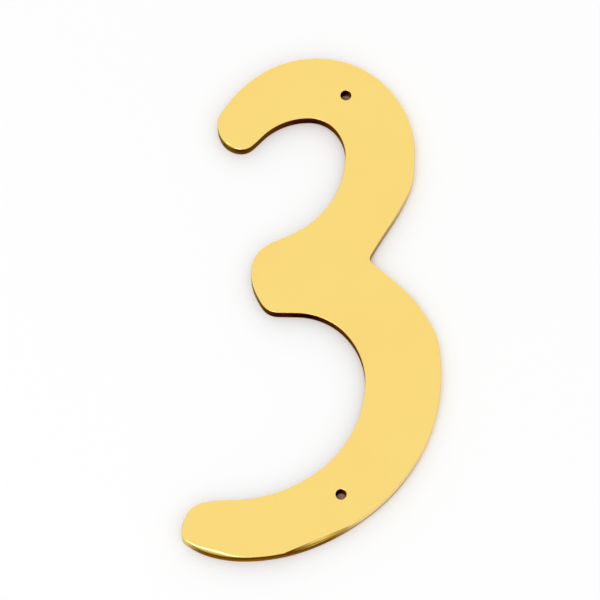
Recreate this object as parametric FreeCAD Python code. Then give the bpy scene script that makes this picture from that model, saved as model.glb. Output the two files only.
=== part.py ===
import FreeCAD, Part
import math
import os

# A flat brass door numeral lying on its back, in millimetres.
# +Y runs up the numeral, +Z out of its polished face.
# The origin is on the back, midway between the nail holes.
# Reaches and offsets are measured across from the line of the holes, and offsets run to the left.
# Rises and drops are measured from the level that heads their group, and slopes in degrees from level.

# Plate
PLATE_THICKNESS = 3.2
FRONT_EDGE_ROUND = 0.4

# Nail holes
HOLE_SPACING = 101.6
HOLE_DIAMETER = 2.5
HOLE_RIM_BREAK = 0.15

# Upper bowl, from the top hole: its crown, its side on the right and the bay inside it
CROWN_OFFSET = 6.9
CROWN_RISE = 9.7
CROWN_STROKE = 15.8
UPPER_SIDE_REACH = 16.8
UPPER_SIDE_DROP = 15.1
UPPER_SIDE_STROKE = 16.7
UPPER_BAY_OFFSET = 8.7
UPPER_BAY_DROP = 15.9

# Beak that ends the upper stroke on the left, from the top hole
BEAK_REACH = 30.9
BEAK_END_DROP = 7.8
BEAK_TIP_OFFSET = 25.1
BEAK_TIP_DROP = 14.5
BEAK_NECK_OFFSET = 20.2
BEAK_NECK_DROP = 11.2
BEAK_NECK_SLOPE = 48.0
BROW_OFFSET = 28.5
BROW_DROP = 2.6
BROW_SLOPE = 56.0

# Notch on the right where the bowls meet, from midway between the holes
NOTCH_REACH = 5.8
NOTCH_RISE = 8.3
NOTCH_RADIUS = 1.5
NOTCH_UPPER_SLOPE = 62.0
NOTCH_LOWER_SLOPE = 41.0

# Flank above the notch and the shoulder and hip below it, from the notch
FLANK_REACH = 15.4
FLANK_RISE = 17.5
FLANK_SLOPE = 67.0
SHOULDER_REACH = 14.6
SHOULDER_DROP = 7.6
SHOULDER_SLOPE = 43.0
HIP_REACH = 20.7
HIP_DROP = 15.9
HIP_SLOPE = 59.0

# Spur between the bays on the left, from midway between the holes
SPUR_REACH = 22.1
SPUR_END_RISE = 4.6
SPUR_UNDERSIDE_OFFSET = 11.0
SPUR_UNDERSIDE_DROP = 5.5
SPUR_HEEL_OFFSET = 19.3
SPUR_HEEL_DROP = 3.5
SPUR_HEEL_SLOPE = 56.0
SPUR_TOP_OFFSET = 19.3
SPUR_TOP_RISE = 11.0
SPUR_TOP_SLOPE = 38.0
WAIST_OFFSET = 14.0
WAIST_RISE = 13.9
WAIST_SLOPE = 23.0

# Lower bowl, from the low hole: its side on the right, the bay inside it and its round down to the foot
LOWER_SIDE_REACH = 23.4
LOWER_SIDE_RISE = 29.9
LOWER_SIDE_STROKE = 18.0
LOWER_BAY_RISE = 28.0
BOWL_FOOT_REACH = 7.1
BOWL_FOOT_DROP = 4.1
BOWL_FOOT_SLOPE = 40.0
FOOT_OFFSET = 23.1
FOOT_DROP = 15.9

# Tail that ends the lower stroke on the left, from the low hole: its toe, its end, its shoulder and its top
TOE_OFFSET = 36.5
TOE_DROP = 11.8
TOE_SLOPE = 38.0
TAIL_REACH = 37.2
TAIL_END_DROP = 8.8
TAIL_SHOULDER_OFFSET = 36.3
TAIL_SHOULDER_DROP = 5.8
TAIL_SHOULDER_SLOPE = 68.0
TAIL_TOP_OFFSET = 26.9
TAIL_DEPTH = 14.1

# Small flat dressed on the front edge of the lower bowl, below the low hole
FLAT_OFFSET = 6.0
FLAT_DEPTH = 0.6
FLAT_TILT = 40.0

TOP_HOLE_LEVEL = HOLE_SPACING / 2
LOW_HOLE_LEVEL = -HOLE_SPACING / 2

# Directions along the outline, which is followed clockwise
RIGHT = FreeCAD.Vector(1, 0, 0)
LEFT = FreeCAD.Vector(-1, 0, 0)
UP = FreeCAD.Vector(0, 1, 0)
DOWN = FreeCAD.Vector(0, -1, 0)
OUT_OF_FACE = FreeCAD.Vector(0, 0, 1)
ORIGIN = FreeCAD.Vector(0, 0, 0)
TOUCHING = 1e-6


def sloping(level, upright, slope):
    """The direction that leaves a level one by a slope in degrees, towards an upright one."""
    angle = math.radians(slope)
    return level * math.cos(angle) + upright * math.sin(angle)


def turn(x, y, direction):
    """A point of the outline with the direction in which the edge passes it."""
    return FreeCAD.Vector(x, y, 0), direction


def arc(start, along, end):
    """The arc that leaves start along a unit vector and arrives at end, or a line where it has no bend."""
    chord = end - start
    bend = math.atan2(along.cross(chord).z, along.dot(chord))
    if abs(bend) < TOUCHING:
        return Part.makeLine(start, end)
    left_of_chord = FreeCAD.Vector(-chord.y, chord.x, 0)
    middle = (start + end) / 2 - left_of_chord * (math.tan(bend / 2) / 2)
    return Part.Arc(start, middle, end).toShape()


def smooth_run(first, last):
    """Two arcs, tangent to each other, from one turn of the outline to the next."""
    start, leaving = first
    end, arriving = last
    span = end - start
    square = 2 * (1 - leaving.dot(arriving))
    linear = 2 * span.dot(leaving + arriving)
    reach = span.dot(span)
    if square < TOUCHING:
        tangent = reach / linear
    else:
        tangent = (math.sqrt(linear ** 2 + 4 * square * reach) - linear) / (2 * square)
    joint = (start + leaving * tangent + end - arriving * tangent) / 2
    second = arc(end, -arriving, joint)
    second.reverse()
    return [arc(start, leaving, joint), second]


def notch_turns():
    """The two ends of the round in the bottom of the notch."""
    inward = sloping(LEFT, DOWN, NOTCH_UPPER_SLOPE)
    outward = sloping(RIGHT, DOWN, NOTCH_LOWER_SLOPE)
    tangent = NOTCH_RADIUS * math.tan(inward.getAngle(outward) / 2)
    corner = FreeCAD.Vector(NOTCH_REACH, NOTCH_RISE, 0)
    return [(corner - inward * tangent, inward), (corner + outward * tangent, outward)]


def foot_turns():
    """The two ends of the lower bowl's round down to the foot."""
    return [
        turn(BOWL_FOOT_REACH, LOW_HOLE_LEVEL - BOWL_FOOT_DROP, sloping(LEFT, DOWN, BOWL_FOOT_SLOPE)),
        turn(-FOOT_OFFSET, LOW_HOLE_LEVEL - FOOT_DROP, LEFT),
    ]


def outer_turns():
    """The right-hand side of the numeral, from the crown down to the tail."""
    return [
        turn(-CROWN_OFFSET, TOP_HOLE_LEVEL + CROWN_RISE, RIGHT),
        turn(UPPER_SIDE_REACH, TOP_HOLE_LEVEL - UPPER_SIDE_DROP, DOWN),
        turn(FLANK_REACH, NOTCH_RISE + FLANK_RISE, sloping(LEFT, DOWN, FLANK_SLOPE)),
        *notch_turns(),
        turn(SHOULDER_REACH, NOTCH_RISE - SHOULDER_DROP, sloping(RIGHT, DOWN, SHOULDER_SLOPE)),
        turn(HIP_REACH, NOTCH_RISE - HIP_DROP, sloping(RIGHT, DOWN, HIP_SLOPE)),
        turn(LOWER_SIDE_REACH, LOW_HOLE_LEVEL + LOWER_SIDE_RISE, DOWN),
        *foot_turns(),
        turn(-TOE_OFFSET, LOW_HOLE_LEVEL - TOE_DROP, sloping(LEFT, UP, TOE_SLOPE)),
        turn(-TAIL_REACH, LOW_HOLE_LEVEL - TAIL_END_DROP, UP),
        turn(-TAIL_SHOULDER_OFFSET, LOW_HOLE_LEVEL - TAIL_SHOULDER_DROP, sloping(RIGHT, UP, TAIL_SHOULDER_SLOPE)),
        turn(-TAIL_TOP_OFFSET, LOW_HOLE_LEVEL - FOOT_DROP + TAIL_DEPTH, RIGHT),
    ]


def inner_turns():
    """The left-hand side of the numeral, from the lower bay up to the beak."""
    return [
        turn(LOWER_SIDE_REACH - LOWER_SIDE_STROKE, LOW_HOLE_LEVEL + LOWER_BAY_RISE, UP),
        turn(-SPUR_UNDERSIDE_OFFSET, -SPUR_UNDERSIDE_DROP, LEFT),
        turn(-SPUR_HEEL_OFFSET, -SPUR_HEEL_DROP, sloping(LEFT, UP, SPUR_HEEL_SLOPE)),
        turn(-SPUR_REACH, SPUR_END_RISE, UP),
        turn(-SPUR_TOP_OFFSET, SPUR_TOP_RISE, sloping(RIGHT, UP, SPUR_TOP_SLOPE)),
        turn(-WAIST_OFFSET, WAIST_RISE, sloping(RIGHT, UP, WAIST_SLOPE)),
        turn(UPPER_SIDE_REACH - UPPER_SIDE_STROKE, TOP_HOLE_LEVEL - UPPER_BAY_DROP, UP),
        turn(-UPPER_BAY_OFFSET, TOP_HOLE_LEVEL + CROWN_RISE - CROWN_STROKE, LEFT),
        turn(-BEAK_NECK_OFFSET, TOP_HOLE_LEVEL - BEAK_NECK_DROP, sloping(LEFT, DOWN, BEAK_NECK_SLOPE)),
        turn(-BEAK_TIP_OFFSET, TOP_HOLE_LEVEL - BEAK_TIP_DROP, LEFT),
        turn(-BEAK_REACH, TOP_HOLE_LEVEL - BEAK_END_DROP, UP),
        turn(-BROW_OFFSET, TOP_HOLE_LEVEL - BROW_DROP, sloping(RIGHT, UP, BROW_SLOPE)),
    ]


def outline():
    turns = outer_turns() + inner_turns()
    edges = []
    for first, last in zip(turns, turns[1:] + turns[:1]):
        edges += smooth_run(first, last)
    return Part.Wire(edges)


def edges_at(shape, level):
    """The edges that lie in one level plane."""
    flat = []
    for edge in shape.Edges:
        box = edge.BoundBox
        if abs(box.ZMin - level) < TOUCHING and abs(box.ZMax - level) < TOUCHING:
            flat.append(edge)
    return flat


def rounded_plate():
    plate = Part.Face(outline()).extrude(OUT_OF_FACE * PLATE_THICKNESS)
    return plate.makeFillet(FRONT_EDGE_ROUND, edges_at(plate, PLATE_THICKNESS))


def nail_hole(level):
    """The tool that drills one nail hole and breaks its front rim."""
    radius = HOLE_DIAMETER / 2
    place = FreeCAD.Vector(0, level, 0)
    drill = Part.makeCylinder(radius, PLATE_THICKNESS, place)
    rim_foot = place + OUT_OF_FACE * (PLATE_THICKNESS - HOLE_RIM_BREAK)
    rim = Part.makeCone(radius, radius + HOLE_RIM_BREAK, HOLE_RIM_BREAK, rim_foot)
    return drill.fuse(rim)


def dressed_flat():
    """The block whose sloping side cuts the small flat on the front edge of the lower bowl."""
    round_edge = smooth_run(*foot_turns())[0]
    centre = round_edge.Curve.Center
    across = -FLAT_OFFSET - centre.x
    outward = FreeCAD.Vector(across, -math.sqrt(round_edge.Curve.Radius ** 2 - across ** 2), 0)
    middle = centre + outward
    outward.normalize()
    size = round_edge.Length
    block = Part.makeBox(size, size, size, FreeCAD.Vector(-size / 2, 0, -size / 2))
    block.rotate(ORIGIN, RIGHT, FLAT_TILT)
    block.rotate(ORIGIN, OUT_OF_FACE, math.degrees(math.atan2(-outward.x, outward.y)))
    block.translate(middle - outward * FLAT_DEPTH + OUT_OF_FACE * PLATE_THICKNESS)
    return block


def numeral():
    plate = rounded_plate()
    for level in (TOP_HOLE_LEVEL, LOW_HOLE_LEVEL):
        plate = plate.cut(nail_hole(level))
    return plate.cut(dressed_flat())


os.makedirs("parts", exist_ok=True)
numeral().exportStep("parts/numeral.step")
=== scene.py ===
import math

import bmesh
import bpy
import numpy as np
from mathutils import Matrix, Vector, geometry, noise


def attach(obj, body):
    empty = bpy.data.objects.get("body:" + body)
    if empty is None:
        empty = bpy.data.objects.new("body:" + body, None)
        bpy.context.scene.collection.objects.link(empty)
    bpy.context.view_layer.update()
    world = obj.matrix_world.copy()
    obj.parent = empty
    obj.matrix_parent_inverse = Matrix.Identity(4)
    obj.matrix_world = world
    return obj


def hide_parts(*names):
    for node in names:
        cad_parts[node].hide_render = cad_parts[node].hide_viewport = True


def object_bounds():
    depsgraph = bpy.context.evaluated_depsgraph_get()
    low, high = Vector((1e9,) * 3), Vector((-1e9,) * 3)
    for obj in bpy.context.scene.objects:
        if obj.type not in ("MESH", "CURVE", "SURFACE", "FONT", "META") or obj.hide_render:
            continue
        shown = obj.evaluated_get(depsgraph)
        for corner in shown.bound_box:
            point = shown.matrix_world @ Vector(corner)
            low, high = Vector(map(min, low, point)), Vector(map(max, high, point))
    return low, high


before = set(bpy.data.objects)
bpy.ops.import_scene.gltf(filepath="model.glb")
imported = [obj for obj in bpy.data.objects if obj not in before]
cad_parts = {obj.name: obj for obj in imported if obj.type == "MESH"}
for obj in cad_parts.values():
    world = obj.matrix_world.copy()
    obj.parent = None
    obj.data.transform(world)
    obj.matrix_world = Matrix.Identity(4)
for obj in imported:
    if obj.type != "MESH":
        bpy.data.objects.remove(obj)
cad_low, cad_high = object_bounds()

# Sizes are in metres, and MM is a millimetre
MM = 0.001
THICKNESS = cad_high.z - cad_low.z
LEVEL_TOLERANCE = 0.002 * MM
WELD = 0.0005 * MM

# The front edge: crisp in the bays and a little rounder outside
STATION_SPACING = 0.22 * MM
CRISP_ROUND = 0.09 * MM
BUFFED_ROUND = 0.08 * MM
# How far into the bays reaches the share that rounds the edge and lifts the wall's painted shade
BUFF_AND_SHADE_REACH = 8.0 * MM
BAY_SPAN = 5.0 * MM
ON_HULL = 0.03 * MM
HAND_WAVER = 0.16
HAND_WAVER_LENGTH = 9.0 * MM
HAND_WAVER_LEVEL = 0.5
ROUND_STEPS = 8

# The two free ends of the stroke are worn round on their lower left
WORN_FACING = (-0.35, -0.94)
TAIL_TOE = (-29.9 * MM, -66.0 * MM)
TAIL_WEAR = 1.0 * MM
TAIL_WEAR_REACH = 4.6 * MM
BEAK_TOE = (-27.9 * MM, 37.3 * MM)
BEAK_WEAR = 0.75 * MM
BEAK_WEAR_REACH = 1.7 * MM

# The polish of the face ends on the edge round, between two angles up from the wall in degrees
POLISH_ENDS_AT = 22.5
POLISH_FULL_AT = 45.0
POLISH_TOLERANCE = 0.01
EDGE_GOLD_AT = 0.5

# The cut wall, the broken edge at the back and the narrow flat margin inside each edge
WALL_STEPS = 6
WALL_WAVER = 0.03 * MM
WALL_WAVER_LENGTH = 5.0 * MM
BACK_BREAK = 0.08 * MM
BACK_BREAK_STEPS = 3
MARGIN = 0.08 * MM
CREASE = math.radians(32.0)

# Nail holes
BORE_SPACING = 0.12 * MM
BORE_RIM_ROUND = 0.15 * MM

# The small dressed flat: its slope, how far it is filed on and its turn about a point on it
FLAT_SLOPE = (0.2, 0.9)
FLAT_FILED = 0.16 * MM
FLAT_TURN = math.radians(0.7)
FLAT_PIVOT = -8.0 * MM

# The numeral's material slots, and the finish and the painted light and shade that its shape sets
FRONT, WALL, BORE, BACK, DRESSED = range(5)
SHAPE_FINISH_AND_LIGHT = ("polish", "buffed_and_unshaded", "painted_light", "even", "painted_side_light")

# Painted light and shade on the wall by where it faces or lies: each share rises between two limits
OLIVE_FACING = (0.2, 0.7)
BRIGHT_FACING = (0.30, 0.55)
BRIGHT_FROM = (-3.0 * MM, 5.0 * MM)
BRIGHT_IN_BAYS = 0.35
EVEN_FACING = (0.72, 0.94)
# Pale painted light on outer walls that face left, and a painted highlight on the tail's lower left
# corner
PALE_LEFT = 0.3
PALE_LEFT_FACING = (0.75, 1.0)
PALE_LEFT_BUFFED = 0.25
PALE_CORNER = 0.95
PALE_CORNER_REACH = 2.8 * MM
TAIL_CORNER = (-37.0 * MM, -63.6 * MM)

# Tone of the wall by height: painted light at the foot, a tone towards the top, and where the painted
# light shows fully
FOOT_LIT_HEIGHT = (0.0, 0.7 * THICKNESS)
TOP_HEIGHT = (0.6 * THICKNESS, THICKNESS)
TOP_SHARE = 0.6
BRIGHT_HEIGHT = (0.25 * THICKNESS, 0.60 * THICKNESS)
BRIGHT_FOOT = 0.3

# Colours of the face, the edge and the wall, the wall's with painted light and shade among them
FACE_BRASS = (0.955, 0.708, 0.210)
FACE_BRASS_WARM = (0.945, 0.690, 0.197)
EDGE_GOLD = (0.62, 0.36, 0.055)
# Shades of the cut wall, dark in the bays partly as its own tone and partly as painted shade, bronze
# outside
WALL_DARK = (0.040, 0.0062, 0.0005)
WALL_RED = (0.078, 0.017, 0.0006)
WALL_BROWN = (0.12, 0.029, 0.0008)
WALL_BRONZE = (0.24, 0.10, 0.005)
# Painted light thrown up from the floor onto the foot of outer walls, also on the lit side of the holes
WALL_PAINTED_LIT = (0.46, 0.29, 0.065)
# Painted side light on walls that face left or right, deeper in the bays
WALL_OLIVE_DEEP = (0.19, 0.095, 0.008)
WALL_OLIVE = (0.30, 0.175, 0.018)
WALL_TOP = (0.22, 0.10, 0.005)
# Painted light on the wall
WALL_PAINTED_LIGHT = (0.98, 0.78, 0.32)
CUT_SHEEN = (0.30, 0.22, 0.14)
# White sheen where the wall carries painted light, as a painted reflection
FULL_SHEEN = (1.0, 1.0, 1.0)
CUT_SHADES = ((0.02, WALL_DARK), (0.10, WALL_RED), (0.5, WALL_BROWN), (0.95, WALL_BRONZE))
OLIVE_SHADES = ((0.05, WALL_OLIVE_DEEP), (0.7, WALL_OLIVE))

# Colours of the holes, the flat and the back, with painted light and shade in the holes and painted
# shade on the flat, and where along the flat they change
BORE_SHADED = (0.08, 0.026, 0.005)
BORE_LIT = (0.85, 0.48, 0.13)
FLAT_BRASS = (0.85, 0.58, 0.14)
FLAT_BRONZE = (0.42, 0.24, 0.02)
# Painted shade on the flat's left end
FLAT_SHADED = (0.17, 0.07, 0.003)
FLAT_END = (0.55, 0.33, 0.045)
FLAT_GOLD_FROM = (-11.3 * MM, -6.8 * MM)
FLAT_END_FROM = (-4.0 * MM, -1.0 * MM)
BACK_BRASS = (0.70, 0.47, 0.16)
BACK_TARNISH = (0.36, 0.21, 0.075)

# Grain: noise scale in cycles per metre, stretch, detail and the span that its values mostly fill
NOISE_SPAN = (0.3, 0.7)
UNSTRETCHED = (1.0, 1.0, 1.0)
SOFT_DETAIL = 2.0
GRAIN_DETAIL = 3.0
TARNISH_DETAIL = 5.0
PATCH_SCALE = 140.0
PATCH_SHIFT = (-0.06, 0.06)
HAZE_SCALE = 45.0
HAZE_SPAN = (0.35, 0.65)
HAIRLINE_SCALE = 3800.0
HAIRLINE_STRETCH = (1.0, 0.02, 1.0)
CUT_SCALE = 2600.0
CUT_STRETCH = (1.0, 1.0, 0.06)
STROKE_SCALE = 2600.0
STROKE_BEARING = math.radians(23.5)
STROKE_STRETCH = (24.0, 1.0, 1.0)
STROKE_SPAN = (0.45, 0.55)
DRILL_SCALE = 5200.0
DRILL_STRETCH = (0.05, 0.05, 1.0)
STREAK_SCALE = 1500.0
STREAK_STRETCH = (1.0, 0.03, 1.0)
STREAK_SHARE = (0.6, 1.0)
TARNISH_SCALE = 60.0
TARNISH_SPAN = (0.4, 0.7)

# Roughness, as a range that the grain runs through, and depth of the grain
FACE_ROUGH = (0.10, 0.14)
EDGE_ROUGH = 0.4
CUT_ROUGH = (0.34, 0.5)
FLAT_ROUGH = (0.2, 0.32)
BORE_ROUGH = (0.25, 0.4)
BACK_ROUGH = (0.34, 0.5)
HAIRLINE_DEPTH = 0.0004 * MM
CUT_DEPTH = 0.01 * MM
STROKE_DEPTH = 0.004 * MM
DRILL_DEPTH = 0.02 * MM
STREAK_DEPTH = 0.01 * MM
BUMP = 0.5
BACK_BUMP = 0.4

# Floor: its size, its painted warm shade where little sky is open above it and its glow where it is
# seen, held back there as painted shade
FLOOR_HALF = 3.0
FLOOR_DROP = 0.02 * MM
FLOOR_ROUGH = 0.9
FLOOR_WHITE = (0.61, 0.61, 0.61)
FLOOR_WARM_SHADE = (0.60, 0.37, 0.28)
FLOOR_WARM_SHADE_SKY = (0.25, 0.64)
FLOOR_GLOW = 0.286
FLOOR_GLOW_SKY = (0.22, 0.50)
FLOOR_SKY_REACH = 4.0 * MM
FLOOR_SKY_SAMPLES = 8

# Light: a white dome, full overhead and behind, weaker low down in front, and one soft box
WHITE = (1.0, 1.0, 1.0)
OVERHEAD = (0.0, 0.0, 1.0)
BEHIND = (0.0, 1.0, 0.0)
DOME_FULL_FACING = (0.10, 0.62)
DOME_LEVELS = (0.6, 1.0)
DOME_BACK_FACING = (0.45, 0.9)
DOME_BACK_LEVELS = (0.0, 0.4)
BOX_TOWARDS = Vector((-0.23, -0.28, 0.93))
BOX_DISTANCE = 1.2
BOX_WIDTH = 0.38
BOX_DEPTH = 0.50
BOX_RADIANCE = 4.5

# Camera
CAMERA_AZIMUTH = math.radians(0.8167)
CAMERA_ELEVATION = math.radians(69.5)
CAMERA_DISTANCE = 1.2
CAMERA_TARGET = Vector((-10.348 * MM, -2.204 * MM, THICKNESS))
CAMERA_LENS = 302.15
CAMERA_SENSOR = 36.0


def back_loops(mesh):
    """The closed edges of the flat back, each with the metal on its right seen from the front."""
    work = bmesh.new()
    work.from_mesh(mesh)
    bmesh.ops.remove_doubles(work, verts=work.verts, dist=WELD)
    following = {}
    for face in work.faces:
        if max(vert.co.z for vert in face.verts) > LEVEL_TOLERANCE:
            continue
        for loop in face.loops:
            beyond = loop.link_loop_radial_next.face
            if max(vert.co.z for vert in beyond.verts) > LEVEL_TOLERANCE:
                following[loop.vert] = loop.link_loop_next.vert
    loops = []
    while following:
        vert, after = following.popitem()
        points = [vert.co.xy[:]]
        while after in following:
            points.append(after.co.xy[:])
            after = following.pop(after)
        loops.append(np.array(points))
    work.free()
    return sorted(loops, key=len, reverse=True)


def even_stations(points, spacing):
    """Evenly spaced points on a smooth closed curve through the given ones, with outward directions."""
    ahead = np.roll(points, -1, axis=0) - points
    step = np.linalg.norm(ahead, axis=1)
    slope = ahead / step[:, None]
    slope_before = np.roll(slope, 1, axis=0)
    step_before = np.roll(step, 1)
    weighted = slope_before * step[:, None] + slope * step_before[:, None]
    tangent = weighted / (step + step_before)[:, None]
    start = np.concatenate([[0.0], np.cumsum(step)])
    count = int(round(start[-1] / spacing))
    along = np.arange(count) * start[-1] / count
    piece = np.searchsorted(start, along, side="right") - 1
    after = (piece + 1) % len(points)
    size = step[piece][:, None]
    t = (along - start[piece])[:, None] / size
    place = (2 * t**3 - 3 * t**2 + 1) * points[piece] + (t**3 - 2 * t**2 + t) * size * tangent[piece]
    place += (3 * t**2 - 2 * t**3) * points[after] + (t**3 - t**2) * size * tangent[after]
    run = np.roll(place, -1, axis=0) - np.roll(place, 1, axis=0)
    run /= np.linalg.norm(run, axis=1)[:, None]
    outward = np.stack([-run[:, 1], run[:, 0]], axis=1)
    return place, outward


def distance_to(place, first, last):
    """How far each point lies from a straight line between two corners."""
    span = last - first
    share = np.clip((place - first) @ span / (span @ span), 0, 1)
    return np.linalg.norm(place - first - share[:, None] * span, axis=1)


def depth_in_bays(place):
    """How far each point lies inside the lines that span the numeral's bays and notch."""
    flat = [Vector(point) for point in place]
    hull = place[geometry.convex_hull_2d(flat)]
    inside = np.full(len(place), np.inf)
    depth = np.full(len(place), np.inf)
    for first, last in zip(hull, np.roll(hull, -1, axis=0)):
        gap = distance_to(place, first, last)
        inside = np.minimum(inside, gap)
        if np.linalg.norm(last - first) > BAY_SPAN:
            depth = np.minimum(depth, gap)
    return np.where(inside < ON_HULL, 0, depth)


def waver(place, length, level):
    """Smooth unevenness from -1 to 1 along an edge, another one at each level."""
    values = []
    for x, y in place:
        values.append(noise.noise(Vector((x / length, y / length, level))))
    return np.array(values)


def quarter(steps):
    """Angles from 0 to 90 degrees in even steps."""
    return [math.radians(90.0 * k / steps) for k in range(steps + 1)]


def rising(value, limits):
    """A share that rises from 0 to 1 between two limits of a value."""
    low, high = limits
    return np.clip((value - low) / (high - low), 0, 1)


def nearness(place, spot, reach):
    """A share that falls from 1 at a spot to nothing well beyond its reach."""
    away = np.linalg.norm(place - np.array(spot), axis=1)
    return np.exp(-((away / reach) ** 2))


def edge_rounding(place, outward, buffed_and_unshaded):
    """The radius of the front edge: crisp in the bays, rounder outside and most on the worn ends."""
    rounding = CRISP_ROUND + buffed_and_unshaded * BUFFED_ROUND
    lower_left = np.clip(outward @ np.array(WORN_FACING), 0, 1) ** 2
    ends = ((TAIL_TOE, TAIL_WEAR, TAIL_WEAR_REACH), (BEAK_TOE, BEAK_WEAR, BEAK_WEAR_REACH))
    for toe, wear, reach in ends:
        rounding += wear * lower_left * nearness(place, toe, reach)
    return rounding * (1 + HAND_WAVER * waver(place, HAND_WAVER_LENGTH, HAND_WAVER_LEVEL))


def wall_finishes(place, outward, buffed_and_unshaded):
    """The shares that paint light and shade on the wall: painted light on the outer right,
    greenish-brown painted side light on the sides, pale painted light and a painted highlight in places.
    """
    across = outward[:, 0]
    painted_light = rising(place[:, 0], BRIGHT_FROM) * rising(across, BRIGHT_FACING)
    # The painted light is held down in the bays
    painted_light *= BRIGHT_IN_BAYS + (1 - BRIGHT_IN_BAYS) * buffed_and_unshaded
    # Pale painted light on outer walls that face left, and a painted highlight on the tail's corner
    outside = np.clip(buffed_and_unshaded / PALE_LEFT_BUFFED, 0, 1)
    painted_light += PALE_LEFT * rising(-across, PALE_LEFT_FACING) * outside
    corner = nearness(place, TAIL_CORNER, PALE_CORNER_REACH)
    painted_light += PALE_CORNER * corner
    even = np.maximum(rising(across, EVEN_FACING), corner)
    # Painted side light on walls that face left or right
    painted_side_light = rising(np.abs(across), OLIVE_FACING)
    return {"buffed_and_unshaded": buffed_and_unshaded, "painted_light": painted_light, "even": even, "painted_side_light": painted_side_light}


def outline_rings(place, rounding):
    """The edge's section from the back round to the face: inset, height, polish and the finish above."""
    ones = np.ones(len(place))
    rings = [((BACK_BREAK + MARGIN) * ones, 0 * ones, 0, BACK)]
    for angle in reversed(quarter(BACK_BREAK_STEPS)):
        inset = BACK_BREAK * (1 - math.cos(angle))
        height = BACK_BREAK * (1 - math.sin(angle))
        rings.append((inset * ones, height * ones, 0, WALL))
    wall_top = THICKNESS - rounding
    for k in range(1, WALL_STEPS):
        share = k / WALL_STEPS
        uneven = 0.5 + 0.5 * waver(place, WALL_WAVER_LENGTH, share)
        inset = WALL_WAVER * uneven * math.sin(math.pi * share)
        rings.append((inset, BACK_BREAK + (wall_top - BACK_BREAK) * share, 0, WALL))
    for angle in quarter(ROUND_STEPS):
        polish = (math.degrees(angle) - POLISH_ENDS_AT) / (POLISH_FULL_AT - POLISH_ENDS_AT)
        finish = FRONT if polish > -POLISH_TOLERANCE else WALL
        polish = min(max(polish, 0.0), 1.0)
        inset = rounding * (1 - math.cos(angle))
        height = wall_top + rounding * math.sin(angle)
        rings.append((inset, height, polish, finish))
    rings.append((rounding + MARGIN, THICKNESS * ones, 1, FRONT))
    return rings


def bore_rings(place):
    """A nail hole's section from the back up to its broken rim on the face."""
    ones = np.ones(len(place))
    rings = [(MARGIN * ones, 0 * ones, 0, BACK), (0 * ones, 0 * ones, 0, BORE)]
    wall_top = THICKNESS - BORE_RIM_ROUND
    for k in range(1, WALL_STEPS):
        rings.append((0 * ones, wall_top * k / WALL_STEPS * ones, 0, BORE))
    for angle in quarter(ROUND_STEPS // 2):
        polish = 1 if math.degrees(angle) > POLISH_FULL_AT else 0
        inset = BORE_RIM_ROUND * (1 - math.cos(angle))
        height = wall_top + BORE_RIM_ROUND * math.sin(angle)
        rings.append((inset * ones, height * ones, polish, FRONT if polish else BORE))
    rings.append(((BORE_RIM_ROUND + MARGIN) * ones, THICKNESS * ones, 1, FRONT))
    return rings


def sweep(work, place, outward, rings, finishes):
    """Skins an edge and returns the rings of vertices that border the back and the face."""
    layers = work.verts.layers.float
    rows = []
    for inset, height, polish, _ in rings:
        spots = place - outward * inset[:, None]
        row = []
        for k, (x, y) in enumerate(spots):
            vert = work.verts.new((x, y, height[k]))
            vert[layers["polish"]] = polish
            for name, values in finishes.items():
                vert[layers[name]] = values[k]
            row.append(vert)
        rows.append(row)
    for lower, upper, (*_, finish) in zip(rows, rows[1:], rings):
        for k in range(len(lower)):
            quad = [lower[k - 1], lower[k], upper[k], upper[k - 1]]
            work.faces.new(quad).material_index = finish
    return rows[0], rows[-1]


def ring_edges(work, row):
    return [work.edges.get((row[k - 1], row[k])) for k in range(len(row))]


def close_side(work, borders, finish):
    """Fills the flat between the outline's border and those of the holes."""
    edges = [edge for border in borders for edge in ring_edges(work, border)]
    filled = bmesh.ops.triangle_fill(work, use_beauty=True, edges=edges)
    for item in filled["geom"]:
        if isinstance(item, bmesh.types.BMFace):
            item.material_index = finish


def dressed_plane(mesh):
    """A point and the outward direction of the small flat: the CAD's widest slope, filed on a little."""
    lowest, highest = FLAT_SLOPE
    facets = {}
    for face in mesh.polygons:
        if lowest < face.normal.z < highest:
            key = tuple(round(value, 2) for value in face.normal)
            facets.setdefault(key, []).append(face)
    widest = max(facets.values(), key=lambda faces: sum(face.area for face in faces))
    largest = max(widest, key=lambda face: face.area)
    centre, outward = largest.center, largest.normal
    fall = outward.x * (FLAT_PIVOT - centre.x) + outward.z * (THICKNESS - centre.z)
    pivot = Vector((FLAT_PIVOT, centre.y - fall / outward.y + FLAT_FILED, THICKNESS))
    return pivot, Matrix.Rotation(FLAT_TURN, 3, "Z") @ outward


def dress_edge(work, mesh):
    """Cuts the small flat and closes it with a facet of its own finish."""
    pivot, outward = dressed_plane(mesh)
    everything = work.verts[:] + work.edges[:] + work.faces[:]
    cut = bmesh.ops.bisect_plane(
        work, geom=everything, dist=WELD, plane_co=pivot, plane_no=outward, clear_outer=True
    )
    rim = [item for item in cut["geom_cut"] if isinstance(item, bmesh.types.BMEdge)]
    for face in bmesh.ops.contextual_create(work, geom=rim)["faces"]:
        face.material_index = DRESSED


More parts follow.
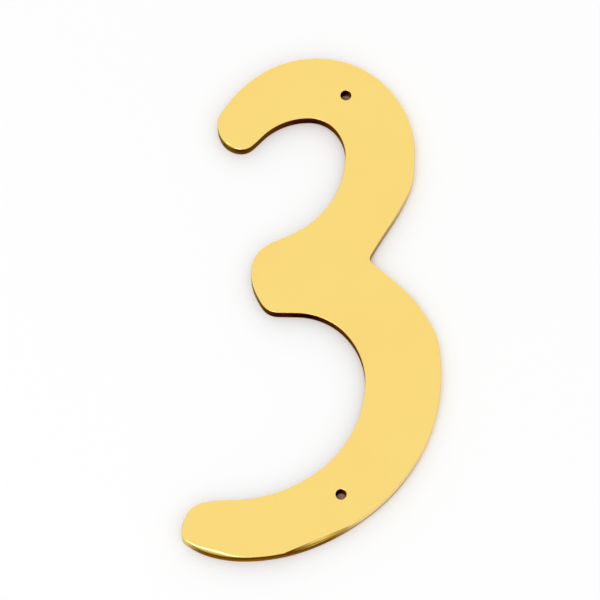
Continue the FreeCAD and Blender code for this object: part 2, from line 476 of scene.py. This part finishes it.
def build_numeral(cad):
    """The numeral's finished skin, swept round the outline and nail holes of its CAD node."""
    loops = back_loops(cad.data)
    work = bmesh.new()
    for name in SHAPE_FINISH_AND_LIGHT:
        work.verts.layers.float.new(name)
    place, outward = even_stations(loops[0], STATION_SPACING)
    # High outside the bays: the edge is rounder there and the wall takes less painted shade
    buffed_and_unshaded = np.exp(-depth_in_bays(place) / BUFF_AND_SHADE_REACH)
    rings = outline_rings(place, edge_rounding(place, outward, buffed_and_unshaded))
    borders = [sweep(work, place, outward, rings, wall_finishes(place, outward, buffed_and_unshaded))]
    for loop in loops[1:]:
        place, outward = even_stations(loop, BORE_SPACING)
        # Painted light on the side of each bore that faces left
        lit = {"painted_light": np.clip(-outward[:, 0], 0, 1)}
        borders.append(sweep(work, place, outward, bore_rings(place), lit))
    close_side(work, [back for back, front in borders], BACK)
    close_side(work, [front for back, front in borders], FRONT)
    dress_edge(work, cad.data)
    bmesh.ops.recalc_face_normals(work, faces=work.faces)
    for face in work.faces:
        face.smooth = True
    mesh = bpy.data.meshes.new("door_number")
    work.to_mesh(mesh)
    work.free()
    mesh.set_sharp_from_angle(angle=CREASE)
    piece = bpy.data.objects.new("door_number", mesh)
    bpy.context.collection.objects.link(piece)
    return piece


def new_tree(name):
    """A new material, its node tree and its shader."""
    material = bpy.data.materials.new(name)
    material.use_nodes = True
    tree = material.node_tree
    return material, tree, tree.nodes["Principled BSDF"]


def feed(tree, socket, value):
    """Links a node's output to a socket, or sets the socket to a constant."""
    if isinstance(value, bpy.types.NodeSocket):
        tree.links.new(value, socket)
    else:
        socket.default_value = value


def node(tree, kind, inputs=(), **settings):
    made = tree.nodes.new(kind)
    for key, value in settings.items():
        setattr(made, key, value)
    for key, value in dict(inputs).items():
        feed(tree, made.inputs[key], value)
    return made


def rgba(colour):
    return (*colour, 1.0)


def object_coords(tree, scale):
    coords = node(tree, "ShaderNodeTexCoord").outputs["Object"]
    return node(tree, "ShaderNodeMapping", {"Vector": coords, "Scale": scale}).outputs["Vector"]


def cloud(tree, vector, scale, detail):
    inputs = {"Vector": vector, "Scale": scale, "Detail": detail}
    return node(tree, "ShaderNodeTexNoise", inputs).outputs["Fac"]


def fit(tree, value, span, levels=(0.0, 1.0), **settings):
    """Maps a value from one span to another and holds it there."""
    inputs = {"Value": value, "From Min": span[0], "From Max": span[1]}
    inputs.update({"To Min": levels[0], "To Max": levels[1]})
    return node(tree, "ShaderNodeMapRange", inputs, **settings).outputs["Result"]


def blend(tree, share, first, last):
    """Mixes two colours, each a socket or a constant."""
    made = node(tree, "ShaderNodeMix", data_type="RGBA")
    for index, value in ((0, share), (6, first), (7, last)):
        constant = isinstance(value, tuple)
        feed(tree, made.inputs[index], rgba(value) if constant else value)
    return made.outputs[2]


def lerp(tree, share, first, last):
    """Mixes two numbers, each a socket or a constant."""
    made = node(tree, "ShaderNodeMix", {0: share, 2: first, 3: last}, data_type="FLOAT")
    return made.outputs[0]


def ramp(tree, share, stops):
    made = node(tree, "ShaderNodeValToRGB", {"Fac": share})
    elements = made.color_ramp.elements
    while len(elements) < len(stops):
        elements.new(0.5)
    for element, (position, colour) in zip(elements, stops):
        element.position = position
        element.color = rgba(colour)
    return made.outputs["Color"]


def math_node(tree, operation, first, second):
    return node(tree, "ShaderNodeMath", {0: first, 1: second}, operation=operation).outputs["Value"]


def attribute(tree, name):
    return node(tree, "ShaderNodeAttribute", attribute_name=name).outputs["Fac"]


def bump(tree, height, distance, strength):
    inputs = {"Height": height, "Distance": distance, "Strength": strength}
    return node(tree, "ShaderNodeBump", inputs).outputs["Normal"]


def dress_metal(tree, shader, colour, roughness, normal):
    """Makes a shader bare metal of a given colour, roughness and grain."""
    shader.inputs["Metallic"].default_value = 1.0
    tree.links.new(colour, shader.inputs["Base Color"])
    tree.links.new(roughness, shader.inputs["Roughness"])
    tree.links.new(normal, shader.inputs["Normal"])


def wall_colour(tree):
    """Cut metal: dark in the bays, partly its own tone and partly painted shade, bronze outside, with
    greenish-brown painted side light on the sides and pale painted light where it is lit.
    """
    buffed_and_unshaded = attribute(tree, "buffed_and_unshaded")
    coords = object_coords(tree, UNSTRETCHED)
    patches = cloud(tree, coords, PATCH_SCALE, SOFT_DETAIL)
    uneven = math_node(tree, "ADD", buffed_and_unshaded, fit(tree, patches, NOISE_SPAN, PATCH_SHIFT))
    cut = ramp(tree, uneven, CUT_SHADES)
    height = node(tree, "ShaderNodeSeparateXYZ", {0: coords}).outputs["Z"]
    # Painted light thrown up from the floor, strongest at the foot of walls outside the bays
    foot = fit(tree, height, FOOT_LIT_HEIGHT, (1.0, 0.0))
    foot_lit = blend(tree, math_node(tree, "MULTIPLY", foot, buffed_and_unshaded), cut, WALL_PAINTED_LIT)
    # Lighter painted side light where the wall faces left or right
    painted_side_light = ramp(tree, uneven, OLIVE_SHADES)
    sided = blend(tree, attribute(tree, "painted_side_light"), foot_lit, painted_side_light)
    topped = blend(tree, fit(tree, height, TOP_HEIGHT, (0.0, TOP_SHARE)), sided, WALL_TOP)
    # Painted light, fuller up the wall's upper part and over its whole height where it faces right
    upper = fit(tree, height, BRIGHT_HEIGHT, (BRIGHT_FOOT, 1.0))
    shown = math_node(tree, "MAXIMUM", upper, attribute(tree, "even"))
    painted_light = math_node(tree, "MULTIPLY", attribute(tree, "painted_light"), shown)
    return blend(tree, painted_light, topped, WALL_PAINTED_LIGHT)


def front_brass():
    """The polished face and edge round, running into the cut wall below."""
    material, tree, shader = new_tree("polished_brass_front")
    polish = attribute(tree, "polish")
    haze = cloud(tree, object_coords(tree, UNSTRETCHED), HAZE_SCALE, SOFT_DETAIL)
    hairlines = cloud(tree, object_coords(tree, HAIRLINE_STRETCH), HAIRLINE_SCALE, SOFT_DETAIL)
    face = blend(tree, fit(tree, haze, HAZE_SPAN), FACE_BRASS, FACE_BRASS_WARM)
    edge = blend(tree, fit(tree, polish, (0.0, EDGE_GOLD_AT)), wall_colour(tree), EDGE_GOLD)
    colour = blend(tree, fit(tree, polish, (EDGE_GOLD_AT, 1.0)), edge, face)
    roughness = lerp(tree, polish, EDGE_ROUGH, fit(tree, hairlines, NOISE_SPAN, FACE_ROUGH))
    dress_metal(tree, shader, colour, roughness, bump(tree, hairlines, HAIRLINE_DEPTH, BUMP))
    return material


def wall_brass():
    """The cut wall with the upright grain of the tool that cut it."""
    material, tree, shader = new_tree("cut_brass_wall")
    grain = cloud(tree, object_coords(tree, CUT_STRETCH), CUT_SCALE, GRAIN_DETAIL)
    roughness = fit(tree, grain, NOISE_SPAN, CUT_ROUGH)
    dress_metal(tree, shader, wall_colour(tree), roughness, bump(tree, grain, CUT_DEPTH, BUMP))
    # A painted reflection: the sheen turns white where the wall carries painted light
    sheen = blend(tree, attribute(tree, "painted_light"), CUT_SHEEN, FULL_SHEEN)
    tree.links.new(sheen, shader.inputs["Specular Tint"])
    return material


def dressed_brass():
    """The small flat, filed along its length and left satin: dark with painted shade, then gold, then
    bronze.
    """
    material, tree, shader = new_tree("dressed_brass_flat")
    coords = node(tree, "ShaderNodeTexCoord").outputs["Object"]
    inputs = {"Vector": coords, "Rotation": (0.0, 0.0, STROKE_BEARING), "Scale": STROKE_STRETCH}
    along = node(tree, "ShaderNodeMapping", inputs, vector_type="TEXTURE").outputs["Vector"]
    strokes = cloud(tree, along, STROKE_SCALE, SOFT_DETAIL)
    gold = blend(tree, fit(tree, strokes, STROKE_SPAN), FLAT_BRASS, FLAT_BRONZE)
    across = node(tree, "ShaderNodeSeparateXYZ", {0: coords}).outputs["X"]
    # Painted shade over the flat's left end
    left = blend(tree, fit(tree, across, FLAT_GOLD_FROM), FLAT_SHADED, gold)
    colour = blend(tree, fit(tree, across, FLAT_END_FROM), left, FLAT_END)
    roughness = fit(tree, strokes, NOISE_SPAN, FLAT_ROUGH)
    dress_metal(tree, shader, colour, roughness, bump(tree, strokes, STROKE_DEPTH, BUMP))
    return material


def bore_brass():
    """The drilled wall of a nail hole, with fine rings left by the drill, painted lit on the side that
    faces left and painted in shade elsewhere.
    """
    material, tree, shader = new_tree("drilled_brass")
    rings = cloud(tree, object_coords(tree, DRILL_STRETCH), DRILL_SCALE, SOFT_DETAIL)
    lit = blend(tree, fit(tree, rings, NOISE_SPAN), BORE_LIT, WALL_PAINTED_LIT)
    colour = blend(tree, attribute(tree, "painted_light"), BORE_SHADED, lit)
    roughness = fit(tree, rings, NOISE_SPAN, BORE_ROUGH)
    dress_metal(tree, shader, colour, roughness, bump(tree, rings, DRILL_DEPTH, BUMP))
    shader.inputs["Specular Tint"].default_value = rgba(CUT_SHEEN)
    return material


def back_brass():
    """The plain back, as rolled, with streaks up the sheet and cloudy tarnish."""
    material, tree, shader = new_tree("rolled_brass_back")
    streaks = cloud(tree, object_coords(tree, STREAK_STRETCH), STREAK_SCALE, GRAIN_DETAIL)
    clouds = cloud(tree, object_coords(tree, UNSTRETCHED), TARNISH_SCALE, TARNISH_DETAIL)
    streaked = fit(tree, streaks, NOISE_SPAN, STREAK_SHARE)
    share = math_node(tree, "MULTIPLY", fit(tree, clouds, TARNISH_SPAN), streaked)
    colour = blend(tree, share, BACK_BRASS, BACK_TARNISH)
    roughness = fit(tree, streaks, NOISE_SPAN, BACK_ROUGH)
    dress_metal(tree, shader, colour, roughness, bump(tree, streaks, STREAK_DEPTH, BACK_BUMP))
    return material


def floor_white():
    """White paper that glows a little where it is seen, and takes painted warm shade with less glow
    where brass stands close.
    """
    material, tree, shader = new_tree("floor_white")
    shader.inputs["Roughness"].default_value = FLOOR_ROUGH
    shader.inputs["Specular IOR Level"].default_value = 0.0
    path = node(tree, "ShaderNodeLightPath").outputs
    mirrored = math_node(tree, "ADD", path["Is Glossy Ray"], path["Is Transmission Ray"])
    seen = math_node(tree, "ADD", path["Is Camera Ray"], mirrored)
    reach = {"Distance": FLOOR_SKY_REACH}
    above = node(tree, "ShaderNodeAmbientOcclusion", reach, samples=FLOOR_SKY_SAMPLES)
    open_sky = above.outputs["AO"]
    # Painted warm shade, and the glow held back, where little sky is open above
    closed = fit(tree, open_sky, FLOOR_WARM_SHADE_SKY, (1.0, 0.0))
    tree.links.new(blend(tree, closed, FLOOR_WHITE, FLOOR_WARM_SHADE), shader.inputs["Base Color"])
    glow = fit(tree, open_sky, FLOOR_GLOW_SKY, (0.0, FLOOR_GLOW))
    tree.links.new(math_node(tree, "MULTIPLY", seen, glow), shader.inputs["Emission Strength"])
    shader.inputs["Emission Color"].default_value = rgba(WHITE)
    return material


def add_floor():
    mesh = bpy.data.meshes.new("floor")
    corners = []
    for x, y in ((-1, -1), (1, -1), (1, 1), (-1, 1)):
        corners.append((x * FLOOR_HALF, y * FLOOR_HALF, -FLOOR_DROP))
    mesh.from_pydata(corners, [], [(0, 1, 2, 3)])
    mesh.materials.append(floor_white())
    floor = bpy.data.objects.new("floor", mesh)
    bpy.context.collection.objects.link(floor)


def dome_level(tree, direction, facing, levels):
    """A level that changes smoothly as the dome turns towards a direction."""
    sky = node(tree, "ShaderNodeTexCoord").outputs["Generated"]
    turned = node(tree, "ShaderNodeVectorMath", {0: sky, 1: direction}, operation="DOT_PRODUCT")
    return fit(tree, turned.outputs["Value"], facing, levels, interpolation_type="SMOOTHSTEP")


def add_world():
    """A white dome, full overhead where the face mirrors it and behind, and weaker low in front."""
    world = bpy.data.worlds.new("studio")
    bpy.context.scene.world = world
    world.use_nodes = True
    tree = world.node_tree
    background = tree.nodes["Background"]
    overhead = dome_level(tree, OVERHEAD, DOME_FULL_FACING, DOME_LEVELS)
    behind = dome_level(tree, BEHIND, DOME_BACK_FACING, DOME_BACK_LEVELS)
    tree.links.new(math_node(tree, "ADD", overhead, behind), background.inputs["Strength"])
    background.inputs["Color"].default_value = rgba(WHITE)


def add_softbox():
    """An oblong soft light of a given brightness, aimed at the numeral."""
    light = bpy.data.lights.new("key", "AREA")
    light.shape = "RECTANGLE"
    light.size = BOX_WIDTH
    light.size_y = BOX_DEPTH
    light.energy = BOX_RADIANCE * math.pi * BOX_WIDTH * BOX_DEPTH
    box = bpy.data.objects.new("key", light)
    direction = BOX_TOWARDS.normalized()
    box.location = CAMERA_TARGET + direction * BOX_DISTANCE
    box.rotation_euler = direction.to_track_quat("Z", "Y").to_euler()
    bpy.context.collection.objects.link(box)


def add_camera():
    level = math.cos(CAMERA_ELEVATION)
    right = math.sin(CAMERA_AZIMUTH) * level
    front = math.cos(CAMERA_AZIMUTH) * level
    back = Vector((right, -front, math.sin(CAMERA_ELEVATION)))
    data = bpy.data.cameras.new("camera")
    data.lens = CAMERA_LENS
    data.sensor_width = CAMERA_SENSOR
    camera = bpy.data.objects.new("camera", data)
    camera.location = CAMERA_TARGET + back * CAMERA_DISTANCE
    camera.rotation_euler = (-back).to_track_quat("-Z", "Y").to_euler()
    bpy.context.collection.objects.link(camera)
    bpy.context.scene.camera = camera


add_camera()
add_floor()
add_world()
add_softbox()

numeral = build_numeral(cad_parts["numeral"])
for finish in (front_brass(), wall_brass(), bore_brass(), back_brass(), dressed_brass()):
    numeral.data.materials.append(finish)
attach(numeral, "root")
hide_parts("numeral")

bpy.context.scene.view_settings.view_transform = "Standard"
